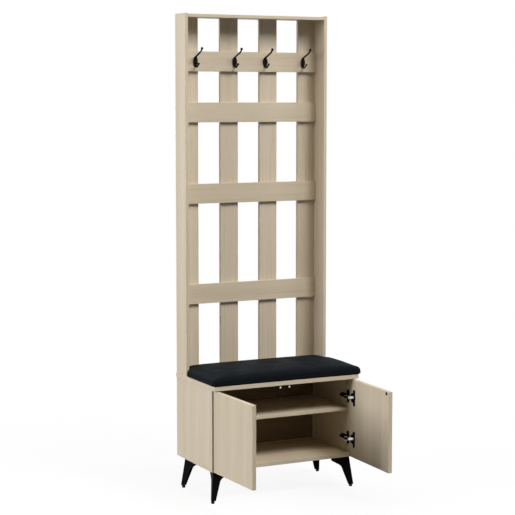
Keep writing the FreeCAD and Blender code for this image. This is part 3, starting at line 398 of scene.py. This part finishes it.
def swell(cushion):
    """Blows the cover up over its foam with cloth, holding its underside on the seat."""
    start = [v.co.copy() for v in cushion.data.vertices]
    held = cushion.vertex_groups.new(name="underside")
    held.add([i for i, co in enumerate(start) if co.z < seat_z + HELD_HEIGHT], 1.0, "REPLACE")
    cloth = cushion.modifiers.new("cover", "CLOTH")
    cloth.settings.quality = 6
    cloth.settings.mass = 0.3
    cloth.settings.tension_stiffness = 20
    cloth.settings.compression_stiffness = 20
    cloth.settings.shear_stiffness = 8
    cloth.settings.bending_stiffness = 1.0
    cloth.settings.use_pressure = True
    cloth.settings.uniform_pressure_force = PRESSURE
    cloth.settings.vertex_group_mass = held.name
    cloth.settings.effector_weights.gravity = 0
    scene = bpy.context.scene
    for number in range(1, SIM_FRAMES + 1):
        scene.frame_set(number)
    swollen = evaluated_mesh(cushion)
    cushion.modifiers.clear()
    steps = []
    for rest, moved in zip(start, swollen.vertices):
        step = moved.co - rest
        steps.append(step * min(1, SWELL_CAP / max(step.length, SMALLEST_STEP)))
    for vertex, rest, step in zip(cushion.data.vertices, start, evened(cushion.data, steps)):
        vertex.co = rest + Vector(step)
        vertex.co.z = max(vertex.co.z, seat_z)
    scene.frame_set(1)
    cushion.vertex_groups.clear()


def kept_clear(mesh):
    """Presses the cover back where it would pass into the frame sides behind it."""
    frame_side_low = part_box("right_frame_side")[0]
    inner_x = frame_side_low.x - SIDE_GAP
    front_y = frame_side_low.y - SIDE_GAP
    for vertex in mesh.vertices:
        past_x = abs(vertex.co.x) - inner_x
        past_y = vertex.co.y - front_y
        if past_x > 0 and past_y > 0:
            if past_x < past_y:
                vertex.co.x = math.copysign(inner_x, vertex.co.x)
            else:
                vertex.co.y = front_y


def press_seam(mesh):
    """The seam of the top panel and the side band: a pressed line with a light pucker along it."""
    normals = [vertex.normal.copy() for vertex in mesh.vertices]
    for vertex, normal in zip(mesh.vertices, normals):
        outward = Vector((normal.x, normal.y, 0))
        off = (vertex.co.z - seat_z - SEAM_HEIGHT) / SEAM_WIDTH
        along = vertex.co.x + vertex.co.y
        pucker = 1 + PUCKER_SHARE * math.sin(2 * math.pi * along / PUCKER_PITCH)
        vertex.co -= outward * (SEAM_DEPTH * pucker * math.exp(-off * off))


def seat_cushion():
    cushion = bpy.data.objects.new("seat_cushion", closed_pad())
    bpy.context.scene.collection.objects.link(cushion)
    remesh = cushion.modifiers.new("even", "REMESH")
    remesh.mode = "VOXEL"
    remesh.voxel_size = VOXEL
    cushion.data = evaluated_mesh(cushion)
    cushion.modifiers.clear()
    swell(cushion)
    finer = cushion.modifiers.new("finer", "SUBSURF")
    finer.levels = 1
    finer.render_levels = 1
    cushion.data = evaluated_mesh(cushion)
    cushion.modifiers.clear()
    press_seam(cushion.data)
    kept_clear(cushion.data)
    cushion.data.name = "seat_cushion"
    cushion.data.materials.clear()
    cushion.data.materials.append(leather_cloth)
    cushion.data.shade_smooth()
    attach(cushion, RIGID_BODY)
    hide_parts("cushion_pad")


seat_cushion()


def latch_spring(side):
    """A copy of the latch spring, carried by the body in place of the CAD part."""
    node_name = f"{side}_latch_spring"
    spring = bpy.data.objects.new(f"{side}_latch_coil", nodes[node_name].data.copy())
    bpy.context.scene.collection.objects.link(spring)
    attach(spring, RIGID_BODY)
    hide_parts(node_name)
    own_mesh(spring)


latch_spring("left")
latch_spring("right")

# Stage: a floor that the camera and mirrors see as white, and that still takes the shadow
FLOOR_SIZE = 60.0
FLOOR_GLOW_SHARE = 0.9
SHADOW_NEAR = 0.6
SHADOW_FAR = 2.4
AMBIENT = 0.01
LIGHT_DISTANCE = 8.0


def seen_directly(tree):
    """1 on the rays that show the backdrop itself: the camera's, and those off or through gloss."""
    rays = add(tree, "ShaderNodeLightPath").outputs
    either = add(tree, "ShaderNodeMath", {
        0: rays["Is Camera Ray"], 1: rays["Is Glossy Ray"]}, operation="MAXIMUM")
    any_of_them = add(tree, "ShaderNodeMath", {
        0: either.outputs["Value"], 1: rays["Is Transmission Ray"]}, operation="MAXIMUM")
    return any_of_them.outputs["Value"]


def studio_floor():
    """Matt painted floor, whose own glow fades out the shadow's far end."""
    mesh = bpy.data.meshes.new("studio_floor")
    half = FLOOR_SIZE / 2
    corners = [(-half, -half, 0), (half, -half, 0), (half, half, 0), (-half, half, 0)]
    mesh.from_pydata(corners, [], [(0, 1, 2, 3)])
    floor = bpy.data.objects.new("studio_floor", mesh)
    bpy.context.scene.collection.objects.link(floor)
    material, tree, shader, place = finish_named("painted_floor_matt")
    # White paint to the eye; mid grey for the light that it throws up, so undersides stay dark
    paint = add(tree, "ShaderNodeMix", {
        "Factor": seen_directly(tree),
        "A": linear("#5C5C5C"), "B": linear("#F4F4F4")}, data_type="RGBA")
    tree.links.new(paint.outputs["Result"], shader.inputs["Base Color"])
    shader.inputs["Roughness"].default_value = 0.9
    glow = add(tree, "ShaderNodeEmission", {"Color": linear("#FFFFFF"), "Strength": 1.0})
    away = add(tree, "ShaderNodeVectorMath", {0: place}, operation="LENGTH")
    whiter = add(tree, "ShaderNodeMapRange", {
        "Value": away.outputs["Value"],
        "From Min": SHADOW_NEAR, "From Max": SHADOW_FAR,
        "To Min": FLOOR_GLOW_SHARE, "To Max": 1.0}, interpolation_type="SMOOTHSTEP")
    share = add(tree, "ShaderNodeMath", {
        0: seen_directly(tree), 1: whiter.outputs["Result"]}, operation="MULTIPLY")
    mixed = add(tree, "ShaderNodeMixShader", {
        "Fac": share.outputs["Value"], 1: shader.outputs["BSDF"], 2: glow.outputs["Emission"]})
    tree.links.new(mixed.outputs["Shader"], tree.nodes["Material Output"].inputs["Surface"])
    mesh.materials.append(material)


def studio_world():
    """White where it is seen, and almost dark where it would light the object."""
    world = bpy.data.worlds.new("studio")
    world.use_nodes = True
    bpy.context.scene.world = world
    tree = world.node_tree
    white = linear("#FFFFFF")
    backdrop = add(tree, "ShaderNodeBackground", {"Color": white, "Strength": 1.0})
    ambient = add(tree, "ShaderNodeBackground", {"Color": white, "Strength": AMBIENT})
    mixed = add(tree, "ShaderNodeMixShader", {
        "Fac": seen_directly(tree),
        1: ambient.outputs["Background"], 2: backdrop.outputs["Background"]})
    tree.links.new(mixed.outputs["Shader"], tree.nodes["World Output"].inputs["Surface"])


def soft_box(name, azimuth, elevation, size, watts, tint):
    """A square soft light aimed at the object's middle; azimuth 0 is in front, positive right."""
    lamp = bpy.data.lights.new(name, "AREA")
    lamp.shape = "SQUARE"
    lamp.size = size
    lamp.energy = watts
    lamp.color = linear(tint)[:3]
    light = bpy.data.objects.new(name, lamp)
    bpy.context.scene.collection.objects.link(light)
    turn = math.radians(azimuth)
    lift = math.radians(elevation)
    level = math.cos(lift)
    away = Vector((math.sin(turn) * level, -math.cos(turn) * level, math.sin(lift)))
    light.location = (cad_low + cad_high) / 2 + away * LIGHT_DISTANCE
    light.rotation_euler = away.to_track_quat("Z", "Y").to_euler()


studio_floor()
studio_world()
soft_box("key", azimuth=28, elevation=47, size=2.6, watts=440, tint="#F6F8FF")
soft_box("right", azimuth=60, elevation=30, size=2.6, watts=205, tint="#F6F8FF")
soft_box("top", azimuth=0, elevation=62, size=2.6, watts=140, tint="#FFF4E0")
soft_box("side", azimuth=-90, elevation=15, size=3.0, watts=545, tint="#F4F7FF")
soft_box("rear", azimuth=-165, elevation=32, size=3.0, watts=220, tint="#FFFFFF")

# Camera: the photograph's viewpoint in metres and degrees, with its lens for a 36 mm wide film
CAMERA_PLACE = Vector((-2.628, -5.183, 1.482))
CAMERA_TURN = 26.53
CAMERA_TILT = 5.30
CAMERA_LENS = 107.8
CAMERA_SHIFT = -0.03
camera = bpy.data.objects.new("camera", bpy.data.cameras.new("camera"))
camera.data.lens = CAMERA_LENS
camera.data.shift_y = CAMERA_SHIFT
camera.location = CAMERA_PLACE
camera.rotation_euler = (math.radians(90 - CAMERA_TILT), 0, math.radians(-CAMERA_TURN))
bpy.context.scene.collection.objects.link(camera)
bpy.context.scene.camera = camera
bpy.context.scene.view_settings.view_transform = "Standard"
